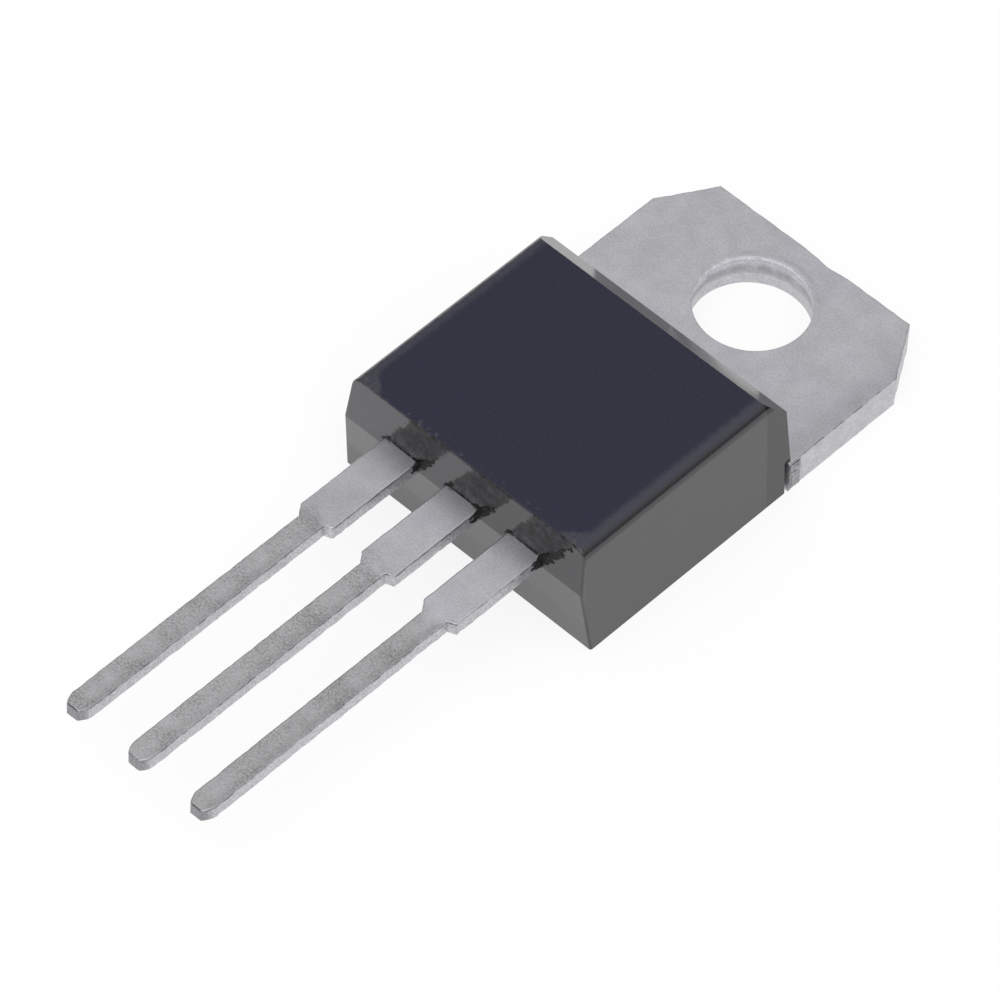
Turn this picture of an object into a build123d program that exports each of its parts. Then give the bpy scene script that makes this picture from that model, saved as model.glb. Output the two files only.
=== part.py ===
from build123d import *
import os
from math import radians, tan

# Power transistor in the flat-tab, three-lead moulded package that bolts to a heat sink.
# A stamped copper frame carries the chip: its thick end is the tab with the fixing hole, and its
# middle lead is the same piece of metal.  The two outer leads stop short inside the moulding,
# where aluminium wires join them to the chip.
#
# The origin is the middle of the fixing hole on the back face.  +X runs across the package, +Y
# towards the free end of the tab and +Z out of the moulding, so the leads point along -Y.
# All sizes are in millimetres.

# Tab: the free, full-width end of the copper frame
tab_width = 10.2
tab_thickness = 1.28
tab_end = 2.85  # hole centre to the free end
tab_root = 3.9  # hole centre to the shoulders beside the moulding
corner_cut_x = 1.15
corner_cut_y = 1.90
tab_edge_roll = 0.05  # edge drawn over by the stamping punch
hole_diameter = 3.75
hole_rim_roll = 0.10

# Tie-bar stubs: what is left of the bars that held neighbouring tabs together
stub_length = 0.5
stub_proud = 0.05

# Slug: the part of the frame under the moulding, with a coined step that keys into it
slug_width = 8.4
slug_cover = 3.25  # moulding between its inner end and the front face
coin_height = 0.45
coin_depth = 0.2
groove_width = 0.4  # damp-stop groove across the slug, just inside the moulding
groove_depth = 0.16
groove_inset = 1.2

# Moulding
body_width = 10.2  # across the back face
body_height = 4.5
body_rear = 3.76  # hole centre to the rear wall, where it stands on the tab
body_front = 12.95  # hole centre to the parting edge, level with the leads
side_draft = 4.2  # drafts are in degrees off the vertical
rear_draft = 5.0
front_draft_above = 6.0  # above the parting edge
front_draft_below = 7.8
rear_chamfer = 0.88
top_round = 0.42  # long edges of the top; its front edge is nearly sharp
corner_round = 0.08  # round the front
root_gap = 0.12  # slot between the moulding and the shoulders of the tab
pin_mark_diameter = 1.5
pin_mark_depth = 0.06
pin_mark_spacing = 6.4
pin_mark_inset = 1.4  # from the front edge of the back face

# Leads
lead_pitch = 2.54
lead_thickness = 0.5
lead_back = 2.58  # back face to the back of the leads
lead_wide = 1.38
lead_narrow = 0.83
lead_length = 13.7  # out of the moulding
shoulder_length = 3.6  # wide part out of the moulding
parting_drop = 0.36  # front of the leads down to the parting edge
shoulder_round = 0.18
tip_width = 0.36
tip_length = 0.42
tip_round = 0.08
bend_radius = 0.55  # at the middle of the strip that lifts the centre lead off the slug

# Posts: the inner ends of the outer leads, where the wires land
post_width = 2.6
post_length = 1.7
post_setback = 1.3  # moulding in front of the posts
post_round = 0.2
key_hole_diameter = 0.6

# Chip
die_width = 3.4
die_length = 3.0
die_thickness = 0.3
solder_thickness = 0.06
solder_fillet = 0.15

base_pad_inset = 0.7  # left edge of the chip to the middle of the base pad
emitter_pad_inset = 1.1  # right edge of the chip to the middle of the emitter pad
pad_row_inset = 0.75  # front edge of the chip to the row of pads

# Bond wires
base_wire_diameter = 0.18
base_foot_length = 0.44
base_foot_width = 0.26
emitter_wire_diameter = 0.5
emitter_foot_length = 1.1
emitter_foot_width = 0.68
wire_cover = 0.7  # moulding over the top of the loops

# Planes and lines that more than one piece shares
lead_front = lead_back + lead_thickness
parting_height = lead_front - parting_drop
lead_tip = body_front + lead_length
shoulder = body_front + shoulder_length
post_front = body_front - post_setback
slug_end = body_front - slug_cover
die_centre = (tab_root + slug_end) / 2
die_back = tab_thickness + solder_thickness
die_front = die_back + die_thickness
wire_top = body_height - wire_cover


def lead_plan(x, inner_end):
    """Plan outline of one lead: wide root, shoulder, narrow blade and tapered tip."""
    step = (lead_wide - lead_narrow) / 2
    right_side = [
        (x + lead_wide / 2, -inner_end),
        (x + lead_wide / 2, -shoulder),
        (x + lead_narrow / 2, -shoulder - step),
        (x + lead_narrow / 2, -lead_tip + tip_length),
        (x + tip_width / 2, -lead_tip),
    ]
    left_side = [(2 * x - corner_x, corner_y) for corner_x, corner_y in reversed(right_side)]
    rounds = [0, tip_round, shoulder_round, tip_round, tip_round]
    with BuildSketch(Plane.XY.offset(lead_back)) as plan:
        with BuildLine():
            FilletPolyline(*right_side, *left_side, radius=rounds + rounds[::-1], close=True)
        make_face()
    return plan.sketch


# ---------------------------------------------------------------- tab, slug and centre lead
with BuildPart() as collector_tab:
    with BuildSketch() as tab_plan:
        with BuildLine():
            Polyline(
                (tab_width / 2, -tab_root),
                (tab_width / 2, tab_end - corner_cut_y),
                (tab_width / 2 - corner_cut_x, tab_end),
                (-tab_width / 2 + corner_cut_x, tab_end),
                (-tab_width / 2, tab_end - corner_cut_y),
                (-tab_width / 2, -tab_root),
                close=True,
            )
        make_face()
    extrude(amount=tab_thickness)
    rolled = (
        collector_tab.edges()
        .group_by(Axis.Z)[-1]
        .filter_by(lambda edge: edge.center().Y > -tab_root + tab_edge_roll)
    )
    fillet(rolled, radius=tab_edge_roll)

    # slug: full width above the coined step, narrower where it shows in the back face
    slug_length = slug_end - tab_root
    with BuildSketch(Plane.XY.offset(coin_height)) as slug_plan:
        with Locations((0, -tab_root)):
            Rectangle(slug_width, slug_length, align=(Align.CENTER, Align.MAX))
    extrude(amount=tab_thickness - coin_height)
    with BuildSketch() as exposed_plan:
        with Locations((0, -tab_root)):
            Rectangle(slug_width - 2 * coin_depth, slug_length - coin_depth, align=(Align.CENTER, Align.MAX))
    extrude(amount=coin_height)
    with BuildSketch(Plane.YZ) as groove_section:
        with Locations((-tab_root - groove_inset, tab_thickness)):
            with BuildLine():
                Polyline((-groove_width / 2, 0), (0, -groove_depth), (groove_width / 2, 0), close=True)
            make_face()
    extrude(amount=slug_width / 2, both=True, mode=Mode.SUBTRACT)

    # centre lead: a strip bent up from the front of the slug to the level of the other leads
    strip_low = tab_thickness - lead_thickness / 2
    strip_high = lead_back + lead_thickness / 2
    with BuildLine(Plane.YZ) as strip_path:
        FilletPolyline(
            (-slug_end + bend_radius, strip_low),
            (-slug_end - bend_radius, strip_low),
            (-post_front, strip_high),
            (-body_front, strip_high),
            radius=bend_radius,
        )
    with BuildSketch(Plane(origin=strip_path.line @ 0, x_dir=(1, 0, 0), z_dir=strip_path.line % 0)):
        Rectangle(lead_wide, lead_thickness)
    sweep()
    extrude(lead_plan(0, body_front), amount=lead_thickness)

    # tie-bar stubs, proud of both edges at the shoulders
    with BuildSketch() as stub_plan:
        with Locations((0, -tab_root)):
            Rectangle(tab_width + 2 * stub_proud, stub_length, align=(Align.CENTER, Align.MIN))
    extrude(amount=tab_thickness - tab_edge_roll)

    Hole(radius=hole_diameter / 2)
    rims = collector_tab.edges().filter_by(GeomType.CIRCLE).filter_by(
        lambda edge: abs(edge.radius - hole_diameter / 2) < 0.01
    )
    fillet(rims.sort_by(Axis.Z)[-1], radius=hole_rim_roll)
collector_tab.part.label = "collector_tab"


# ---------------------------------------------------------------- outer leads
def outer_lead(x, label):
    """One outer lead with its post, keyed into the moulding by a hole."""
    with BuildPart() as lead:
        extrude(lead_plan(x, post_front), amount=lead_thickness)
        with BuildSketch(Plane.XY.offset(lead_back)) as post_plan:
            with Locations((x, -post_front)):
                Rectangle(post_width, post_length, align=(Align.CENTER, Align.MIN))
            fillet(post_plan.vertices(), radius=post_round)
        extrude(amount=lead_thickness)
        with Locations((x, -post_front - post_setback / 2, lead_front)):
            Hole(radius=key_hole_diameter / 2)
    lead.part.label = label
    return lead.part


base_lead = outer_lead(-lead_pitch, "base_lead")
emitter_lead = outer_lead(lead_pitch, "emitter_lead")

# ---------------------------------------------------------------- chip and its solder
with BuildPart() as die_solder:
    with BuildSketch(Plane.XY.offset(tab_thickness)):
        with Locations((0, -die_centre)):
            Rectangle(die_width + 2 * solder_fillet, die_length + 2 * solder_fillet)
    extrude(amount=solder_thickness)
die_solder.part.label = "die_solder"

with BuildPart() as silicon_die:
    with BuildSketch(Plane.XY.offset(die_back)):
        with Locations((0, -die_centre)):
            Rectangle(die_width, die_length)
    extrude(amount=die_thickness)
silicon_die.part.label = "silicon_die"


# ---------------------------------------------------------------- bond wires
def bond_wire(label, die_point, post_point, diameter, foot_length, foot_width):
    """One wire arched from the chip to a post, with a flattened wedge foot at each end."""
    run = Vector(*post_point) - Vector(*die_point)
    along = run.normalized()
    arch_plane = Plane(origin=die_point, x_dir=along, z_dir=along.cross(Vector(0, 0, 1)))
    with BuildPart() as wire:
        with BuildLine(arch_plane) as arch:
            ThreePointArc(
                (0, die_front + diameter / 2),
                (run.length / 2, wire_top - diameter / 2),
                (run.length, lead_front + diameter / 2),
            )
        with BuildSketch(Plane(origin=arch.line @ 0, z_dir=arch.line % 0)):
            Circle(diameter / 2)
        sweep()
        for point, level in ((die_point, die_front), (post_point, lead_front)):
            with BuildSketch(Plane(origin=(*point, level), x_dir=along, z_dir=(0, 0, 1))) as foot:
                Rectangle(foot_length, foot_width)
                chamfer(foot.vertices(), length=foot_width / 4)
            extrude(amount=diameter)
    wire.part.label = label
    return wire.part


pad_row = -die_centre - die_length / 2 + pad_row_inset
post_row = -post_front + post_length / 2
base_wire = bond_wire(
    "base_wire",
    (-die_width / 2 + base_pad_inset, pad_row),
    (-lead_pitch, post_row),
    base_wire_diameter,
    base_foot_length,
    base_foot_width,
)
emitter_wire = bond_wire(
    "emitter_wire",
    (die_width / 2 - emitter_pad_inset, pad_row),
    (lead_pitch, post_row),
    emitter_wire_diameter,
    emitter_foot_length,
    emitter_foot_width,
)

# ---------------------------------------------------------------- moulding
inserts = [
    collector_tab.part,
    base_lead,
    emitter_lead,
    die_solder.part,
    silicon_die.part,
    base_wire,
    emitter_wire,
]

chamfer_foot = body_height - rear_chamfer
rear_at_chamfer = body_rear + (chamfer_foot - tab_thickness) * tan(radians(rear_draft))
front_at_top = body_front - (body_height - parting_height) * tan(radians(front_draft_above))
front_at_back = body_front - parting_height * tan(radians(front_draft_below))
half_top = body_width / 2 - body_height * tan(radians(side_draft))
with BuildPart() as mould_body:
    # side view: drafted ends that meet at the parting edge, and the chamfer over the tab
    with BuildSketch(Plane.YZ) as side_view:
        with BuildLine():
            Polyline(
                (-tab_root - root_gap, 0),
                (-tab_root - root_gap, tab_thickness),
                (-body_rear, tab_thickness),
                (-rear_at_chamfer, chamfer_foot),
                (-rear_at_chamfer - rear_chamfer, body_height),
                (-front_at_top, body_height),
                (-body_front, parting_height),
                (-front_at_back, 0),
                close=True,
            )
        make_face()
    extrude(amount=body_width, both=True)
    # front view: both sides drafted in one sweep from the back face to the top
    with BuildSketch(Plane.XZ) as front_view:
        with BuildLine():
            Polyline(
                (-body_width / 2, 0),
                (body_width / 2, 0),
                (half_top, body_height),
                (-half_top, body_height),
                close=True,
            )
        make_face()
    extrude(amount=lead_tip, mode=Mode.INTERSECT)
    top_edges = mould_body.faces().sort_by(Axis.Z)[-1].edges()
    fillet(top_edges.filter_by(Axis.Y), radius=top_round)
    front_outline = mould_body.edges().filter_by(
        lambda edge: edge.center().Y < -front_at_back - corner_round
        and edge.bounding_box().size.Y < body_height / 2
        and abs(edge.center().Z - parting_height) > corner_round
    )
    fillet(front_outline, radius=corner_round)
    for piece in inserts:
        add(piece, mode=Mode.SUBTRACT)
    # shallow marks of the two ejector pins in the back face
    with BuildSketch() as pin_marks:
        with Locations((0, -front_at_back + pin_mark_inset)):
            with GridLocations(pin_mark_spacing, 1, 2, 1):
                Circle(pin_mark_diameter / 2)
    extrude(amount=pin_mark_depth, mode=Mode.SUBTRACT)
mould_body.part.label = "mould_body"

# ---------------------------------------------------------------- files
os.makedirs("parts", exist_ok=True)
export_step(mould_body.part, "parts/mould_body.step")
for piece in inserts:
    export_step(piece, f"parts/{piece.label}.step")
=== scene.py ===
"""Looks of a power transistor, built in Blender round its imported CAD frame.

The moulding is black epoxy with a matt top and polished, drafted walls.  The tab and the leads
are stamped copper with a dull tin plating.  All sizes in the classes are in millimetres, and the
scene itself is in metres, in the same frame as the CAD part.
"""

import logging
import math
from dataclasses import dataclass
from enum import Enum
from functools import reduce

import bmesh
import bpy
from bmesh.types import BMEdge, BMesh, BMFace, BMVert
from bpy.types import Material, Object, World
from bpy.types import NodeSocket as Socket
from mathutils import Matrix, Vector, noise

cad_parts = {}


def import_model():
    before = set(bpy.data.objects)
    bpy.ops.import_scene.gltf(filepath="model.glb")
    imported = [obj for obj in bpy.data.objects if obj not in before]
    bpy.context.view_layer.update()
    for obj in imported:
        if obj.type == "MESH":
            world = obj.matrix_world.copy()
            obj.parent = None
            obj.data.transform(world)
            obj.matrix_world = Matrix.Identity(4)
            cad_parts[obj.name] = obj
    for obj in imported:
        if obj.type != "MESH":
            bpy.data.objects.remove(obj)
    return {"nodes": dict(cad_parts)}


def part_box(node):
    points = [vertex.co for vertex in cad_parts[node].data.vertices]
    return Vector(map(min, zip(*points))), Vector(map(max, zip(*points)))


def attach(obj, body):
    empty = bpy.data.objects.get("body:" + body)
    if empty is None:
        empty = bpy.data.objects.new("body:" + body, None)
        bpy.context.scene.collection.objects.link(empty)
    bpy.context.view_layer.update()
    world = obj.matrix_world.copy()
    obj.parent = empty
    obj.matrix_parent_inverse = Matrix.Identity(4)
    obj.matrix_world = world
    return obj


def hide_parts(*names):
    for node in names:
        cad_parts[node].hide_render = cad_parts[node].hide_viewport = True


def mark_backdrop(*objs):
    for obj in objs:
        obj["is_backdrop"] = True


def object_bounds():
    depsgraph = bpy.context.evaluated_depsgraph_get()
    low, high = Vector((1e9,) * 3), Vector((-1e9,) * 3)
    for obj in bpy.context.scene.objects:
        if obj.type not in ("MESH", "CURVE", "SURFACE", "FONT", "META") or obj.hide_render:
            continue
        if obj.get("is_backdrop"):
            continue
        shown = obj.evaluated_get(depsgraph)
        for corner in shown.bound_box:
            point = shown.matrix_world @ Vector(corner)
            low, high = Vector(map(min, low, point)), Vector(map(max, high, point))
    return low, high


LOG = logging.getLogger("transistor")
MM = 0.001
PITCH = 2.54  # of the leads, in millimetres
HOLE_RADIUS = 1.875
TAB_FRONT = 1.28  # height of the tab's front face
MOULD_TOP = 4.5  # height of the moulding's flat top
MOULD_FRONT = -12.763  # front edge of the flat top, along Y
SPREAD = (0.3, 0.7)  # levels between which nearly all of a noise lies
SHARP_ANGLE = math.radians(32)  # past which an edge is shaded sharp
NEAR = 0.001  # tolerance of places, in millimetres

Colour = tuple[float, float, float, float]


class Slot(Enum):
    """Material slots of the part's record."""

    MOULDING = "moulding"
    PLATED_COPPER = "plated_copper"


# ---------------------------------------------------------------- colours and nodes
def linear(hex_colour: str) -> Colour:
    """Turn an sRGB hex colour into a linear one.

    Args:
        hex_colour: Six hex digits after a hash sign.

    Returns:
        Red, green, blue and an alpha of one, as linear values.
    """
    channels = [int(hex_colour[place : place + 2], 16) / 255 for place in (1, 3, 5)]
    red, green, blue = (
        value / 12.92 if value <= 0.04045 else ((value + 0.055) / 1.055) ** 2.4
        for value in channels
    )
    return (red, green, blue, 1.0)


def mm(*sizes: float) -> tuple[float, ...]:
    """Turn millimetres into the scene's metres."""
    return tuple(size * MM for size in sizes)


def grain_scale(size: float) -> float:
    """Noise scale, on Object coordinates in metres, whose cells have this size in millimetres."""
    return 1.0 / (size * MM)


class Kind(Enum):
    """Kinds of node in use: Blender's name, input sockets, output socket and settings."""

    PLACE = ("TexCoord", (), "Object", {})
    DIRECTION = ("TexCoord", (), "Generated", {})
    AXES = ("SeparateXYZ", (0,), None, {})
    LIGHT_PATH = ("LightPath", (), None, {})
    NOISE = ("TexNoise", ("Vector", "Scale", "Detail", "Roughness"), "Fac", {})
    ROWS = ("TexWave", ("Vector", "Scale", "Distortion"), "Fac", {"bands_direction": "X"})
    FADE = (
        "MapRange",
        ("Value", "From Min", "From Max", "To Min", "To Max"),
        "Result",
        {"interpolation_type": "SMOOTHSTEP"},
    )
    ADD = ("Math", (0, 1), 0, {"operation": "ADD"})
    SUBTRACT = ("Math", (0, 1), 0, {"operation": "SUBTRACT"})
    MULTIPLY = ("Math", (0, 1), 0, {"operation": "MULTIPLY"})
    MAXIMUM = ("Math", (0, 1), 0, {"operation": "MAXIMUM"})
    LESS_THAN = ("Math", (0, 1), 0, {"operation": "LESS_THAN"})
    GREATER_THAN = ("Math", (0, 1), 0, {"operation": "GREATER_THAN"})
    ABSOLUTE = ("Math", (0,), 0, {"operation": "ABSOLUTE"})
    WRAP = ("Math", (0, 1, 2), 0, {"operation": "WRAP"})
    SCALED = ("VectorMath", (0, "Scale"), "Vector", {"operation": "SCALE"})
    MOVED = ("VectorMath", (0, 1), "Vector", {"operation": "SUBTRACT"})
    FLATTENED = ("VectorMath", (0, 1), "Vector", {"operation": "MULTIPLY"})
    LENGTH = ("VectorMath", (0,), "Value", {"operation": "LENGTH"})
    BLEND = ("Mix", (0, 6, 7), 2, {"data_type": "RGBA"})
    BUMP = ("Bump", ("Height", "Strength", "Distance"), "Normal", {})
    PRINCIPLED = ("BsdfPrincipled", ("Base Color", "Metallic", "Roughness", "Normal", "IOR"), 0, {})
    DIFFUSE = ("BsdfDiffuse", ("Color",), 0, {})
    EMISSION = ("Emission", ("Color", "Strength"), 0, {})
    BACKGROUND = ("Background", ("Color", "Strength"), 0, {})
    BOTH_SHADERS = ("AddShader", (0, 1), 0, {})
    EITHER_SHADER = ("MixShader", (0, 1, 2), 0, {})
    OUTPUT = ("OutputMaterial", ("Surface",), None, {})
    WORLD_OUTPUT = ("OutputWorld", ("Surface",), None, {})


class Graph:
    """Node tree of one material or world."""

    def __init__(self, owner: Material | World) -> None:
        """Take over a material's or a world's node tree and clear it.

        Args:
            owner: Material or world that gets the nodes.
        """
        owner.use_nodes = True
        self.owner = owner
        self.tree = owner.node_tree
        self.tree.nodes.clear()

    def add(self, kind: Kind, *values: Socket | Colour | Vector | float) -> Socket:
        """Add one node with its settings, values and links.

        Args:
            kind: Kind of the node.
            values: Values or output sockets, in the order of the kind's inputs.  Those that are
                left out keep Blender's default.

        Returns:
            The kind's output socket, or all the node's outputs where the kind names none.
        """
        name, inputs, output, settings = kind.value
        node = self.tree.nodes.new(f"ShaderNode{name}")
        for key, value in settings.items():
            setattr(node, key, value)
        for key, value in zip(inputs, values):
            if isinstance(value, Socket):
                self.tree.links.new(value, node.inputs[key])
            else:
                node.inputs[key].default_value = value
        return node.outputs if output is None else node.outputs[output]

    def chain(self, kind: Kind, *values: Socket | float) -> Socket:
        """Combine several values by one kind of node, each with the result of those before it."""
        return reduce(lambda first, second: self.add(kind, first, second), values)


class Surface(Graph):
    """Node tree of one of the part's materials, on the part's own position."""

    def __init__(self, name: str) -> None:
        """Start the material.

        Args:
            name: Name of the finish.
        """
        super().__init__(bpy.data.materials.new(name))
        self.place = self.add(Kind.PLACE)
        self.x, self.y, self.z = self.add(Kind.AXES, self.place)

    def finish(self, *values: Socket | Colour | float) -> Material:
        """Close the material with its one shader.

        Args:
            values: Values or sockets, in the order of the inputs of Kind.PRINCIPLED.

        Returns:
            The finished material.
        """
        self.add(Kind.OUTPUT, self.add(Kind.PRINCIPLED, *values))
        return self.owner


# ---------------------------------------------------------------- finishes
@dataclass(frozen=True)
class MouldedEpoxy:
    """Filled epoxy moulding compound, transfer moulded in a steel tool.

    The tool's floor is spark eroded, so the flat top is matt and scatters a cold, dark tone.  The
    rounds beside it are painted paler as a painted reflection, with a painted dark reflection band
    where they meet the walls.  The drafted walls are polished, so they mirror what is near them;
    the front walls are painted lighter as painted light, and the rear chamfer darker as painted
    shade.  Above each lead the wall is rougher and painted dark, as the lead's reflection and its
    contact shadow.
    """

    top: str = "#111331"
    # painted reflection: the rounds beside the top paler, and the same tone at its front corners
    round_sheen: str = "#363744"
    dark_reflection: str = "#343438"  # painted dark reflection of the horizon, where the rounds meet the walls
    walls: str = "#38373b"
    front_light: str = "#5a595d"  # painted light: the front walls lighter, most towards -X
    chamfer: str = "#0b0b0d"  # painted shade: the rear chamfer darker, so that its reflection of the tab is darker
    # painted dark reflection of each lead on the front wall above it
    lead_reflection: str = "#1f1e21"
    scuff: str = "#58575a"
    top_roughness: float = 0.62
    wall_roughness: float = 0.09
    lead_reflection_roughness: float = 0.30
    ior: float = 1.6
    top_front: float = -12.72
    top_rear: float = -4.845
    erosion_grain: float = 0.09  # real erosion pits are 0.02 mm; drawn coarser so that they show
    crumb_grain: float = 0.25
    scuff_grain: float = 0.26
    lead_top: float = 3.08
    slant: float = 0.62  # of the painted reflection of each lead, to the right for each millimetre up

    def make(self) -> Material:
        """Build the material.

        Returns:
            The finished material.
        """
        surface = Surface("transfer_moulded_epoxy")
        add = surface.add
        pits, crumbs = (
            add(Kind.NOISE, surface.place, grain_scale(size), 3.0, 0.6)
            for size in (self.erosion_grain, self.crumb_grain)
        )
        height = add(Kind.ADD, surface.z, add(Kind.FADE, crumbs, *SPREAD, *mm(-0.012, 0.012)))
        depth = add(Kind.SUBTRACT, MOULD_TOP * MM, height)
        matt = add(Kind.FADE, depth, *mm(0.012, 0.06), 1.0, 0.0)
        # share of the zone above each lead that is painted with its dark reflection
        lead_reflection = self.bleed_and_shade(surface, crumbs)
        base = add(Kind.BLEND, lead_reflection, self.tones(surface, depth, crumbs), linear(self.lead_reflection))
        base = add(Kind.BLEND, self.scuffs(surface), base, linear(self.scuff))
        aside = add(Kind.ABSOLUTE, surface.x)
        flat = add(Kind.MULTIPLY, matt, add(Kind.FADE, aside, *mm(4.1, 4.4), 2.4, 0.5))
        contrast = add(Kind.ADD, add(Kind.MAXIMUM, flat, 0.3), add(Kind.MULTIPLY, lead_reflection, 4.0))
        pitted = add(Kind.MULTIPLY, add(Kind.SUBTRACT, pits, 0.5), contrast)
        mottled = surface.chain(Kind.MULTIPLY, add(Kind.SUBTRACT, crumbs, 0.5), lead_reflection, 10.0)
        tone = surface.chain(Kind.ADD, pitted, mottled, 1.0)
        # painted shade: contact shadow at each lead's foot, dark reflection at its right-hand
        # corner
        tone = add(Kind.MAXIMUM, add(Kind.MULTIPLY, tone, self.root_shade(surface, crumbs)), 0.1)
        rough = add(Kind.FADE, add(Kind.MAXIMUM, matt, lead_reflection), 0.0, 1.0, 0.05, 1.0)
        bump = add(Kind.BUMP, add(Kind.MULTIPLY, pits, rough), 0.5, 0.012 * MM)
        polish = add(Kind.FADE, matt, 0.0, 1.0, self.wall_roughness, self.top_roughness)
        polish = add(Kind.MAXIMUM, polish, add(Kind.MULTIPLY, lead_reflection, self.lead_reflection_roughness))
        return surface.finish(add(Kind.SCALED, base, tone), 0.0, polish, bump, self.ior)

    def tones(self, surface: Surface, depth: Socket, crumbs: Socket) -> Socket:
        """Lay out the tones of the flat top, its rounds and front corners painted paler with a dark
        band below them as painted reflections, and the walls, painted lighter at the front and
        darker at the chamfer.

        Args:
            surface: Nodes of the material.
            depth: Depth below the top.
            crumbs: Coarse noise.

        Returns:
            The colour.
        """
        add = surface.add
        wander = add(Kind.FADE, crumbs, *SPREAD, *mm(-0.035, 0.035))
        aside = add(Kind.ADD, add(Kind.ABSOLUTE, surface.x), wander)
        corner = add(Kind.FADE, surface.y, *mm(-12.0, -12.7, 0.0, 0.6))
        # painted reflection on the rounds beside the top, reaching further in at its front corners
        worn = add(Kind.FADE, add(Kind.ADD, aside, corner), *mm(4.20, 4.46))
        top = add(Kind.BLEND, worn, linear(self.top), linear(self.round_sheen))
        # painted dark reflection of the horizon, where the rounds meet the walls
        top = add(Kind.BLEND, add(Kind.FADE, aside, *mm(4.56, 4.68)), top, linear(self.dark_reflection))
        below = add(Kind.FADE, depth, *mm(0.22, 0.42))
        ahead = add(Kind.FADE, surface.y, *mm(self.top_front, self.top_front - 0.05))
        behind = add(Kind.FADE, surface.y, *mm(self.top_rear, self.top_rear + 0.04))
        # painted light on the front walls, rising towards -X
        lit_front = add(Kind.MULTIPLY, ahead, add(Kind.FADE, surface.x, *mm(2.5, -4.8), 0.28, 1.0))
        wall = add(Kind.BLEND, lit_front, linear(self.walls), linear(self.front_light))
        # painted shade on the rear chamfer
        wall = add(Kind.BLEND, behind, wall, linear(self.chamfer))
        return add(Kind.BLEND, surface.chain(Kind.MAXIMUM, below, ahead, behind), top, wall)

    def from_lead(self, surface: Surface) -> tuple[Socket, Socket, Socket]:
        """Measure the front wall from the leads, on a slant that leans to the right.

        Args:
            surface: Nodes of the material.

        Returns:
            Height above the leads, slanted distance from the nearest lead's middle, and one over
            the leads or nought elsewhere.
        """
        add = surface.add
        above = add(Kind.SUBTRACT, surface.z, self.lead_top * MM)
        drawn = add(Kind.SUBTRACT, surface.x, add(Kind.MULTIPLY, above, self.slant))
        beside = add(Kind.WRAP, drawn, *mm(PITCH / 2, -PITCH / 2))
        inner = add(Kind.LESS_THAN, add(Kind.ABSOLUTE, drawn), 1.5 * PITCH * MM)
        over = add(Kind.GREATER_THAN, above, -0.02 * MM)
        return above, beside, add(Kind.MULTIPLY, inner, over)

    def bleed_and_shade(self, surface: Surface, crumbs: Socket) -> Socket:
        """Find the zone of the front wall, up and to the right from each lead, where the lead's
        dark reflection is painted and the wall is rougher.

        Args:
            surface: Nodes of the material.
            crumbs: Coarse noise.

        Returns:
            The share of the zone.
        """
        add = surface.add
        above, beside, zone = self.from_lead(surface)
        away = add(Kind.ABSOLUTE, add(Kind.SUBTRACT, beside, 0.15 * MM))
        ragged = add(Kind.ADD, away, add(Kind.FADE, crumbs, *SPREAD, *mm(-0.05, 0.05)))
        near = add(Kind.FADE, ragged, *mm(0.78, 0.89), 1.0, 0.0)
        up = add(Kind.FADE, above, *mm(-0.05, 0.6), 0.55, 1.0)
        ahead = add(Kind.FADE, surface.y, *mm(self.top_front + 0.02, self.top_front - 0.04))
        return surface.chain(Kind.MULTIPLY, near, zone, up, ahead)

    def root_shade(self, surface: Surface, crumbs: Socket) -> Socket:
        """Paint shade: a contact shadow along the foot of each lead and its dark reflection at its
        right-hand corner.

        Args:
            surface: Nodes of the material.
            crumbs: Coarse noise.

        Returns:
            A factor for the tone.
        """
        add = surface.add
        above, beside, zone = self.from_lead(surface)
        corner_height, foot_height = (
            add(Kind.ADD, above, add(Kind.FADE, crumbs, *SPREAD, *mm(-uneven, uneven)))
            for uneven in (0.3, 0.12)
        )
        right = add(Kind.FADE, beside, *mm(0.25, 0.75))
        end = add(Kind.FADE, beside, *mm(0.98, 1.06), 1.0, 0.0)
        low = add(Kind.FADE, corner_height, *mm(0.1, 0.9), 1.0, 0.0)
        corner = surface.chain(Kind.MULTIPLY, right, end, low)
        foot = add(Kind.FADE, foot_height, *mm(0.02, 0.26), 0.8, 0.0)
        under = add(Kind.FADE, add(Kind.ABSOLUTE, beside), *mm(0.72, 0.8), 1.0, 0.0)
        dark = add(Kind.MAXIMUM, corner, add(Kind.MULTIPLY, foot, under))
        ahead = add(Kind.LESS_THAN, surface.y, (self.top_front + 0.02) * MM)
        return add(Kind.FADE, surface.chain(Kind.MULTIPLY, dark, zone, ahead), 0.0, 1.0, 1.0, 0.15)

    def scuffs(self, surface: Surface) -> Socket:
        """Scatter pale scuffs along the front edge of the top, most of them at its corners.

        Args:
            surface: Nodes of the material.

        Returns:
            The share of scuffed surface.
        """
        add = surface.add
        specks = add(Kind.NOISE, surface.place, grain_scale(self.scuff_grain), 4.0, 0.6)
        ahead = add(Kind.FADE, surface.y, *mm(-12.3, -12.7))
        up = add(Kind.FADE, surface.z, *mm(4.15, 4.4))
        corner = add(Kind.FADE, add(Kind.ABSOLUTE, surface.x), *mm(3.4, 4.4), 0.0, 0.08)
        level = add(Kind.SUBTRACT, 0.565, corner)
        found = add(Kind.MULTIPLY, add(Kind.SUBTRACT, specks, level), 6.0)
        return surface.chain(Kind.MULTIPLY, add(Kind.FADE, found, 0.0, 1.0, 0.0, 0.55), ahead, up)


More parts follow.
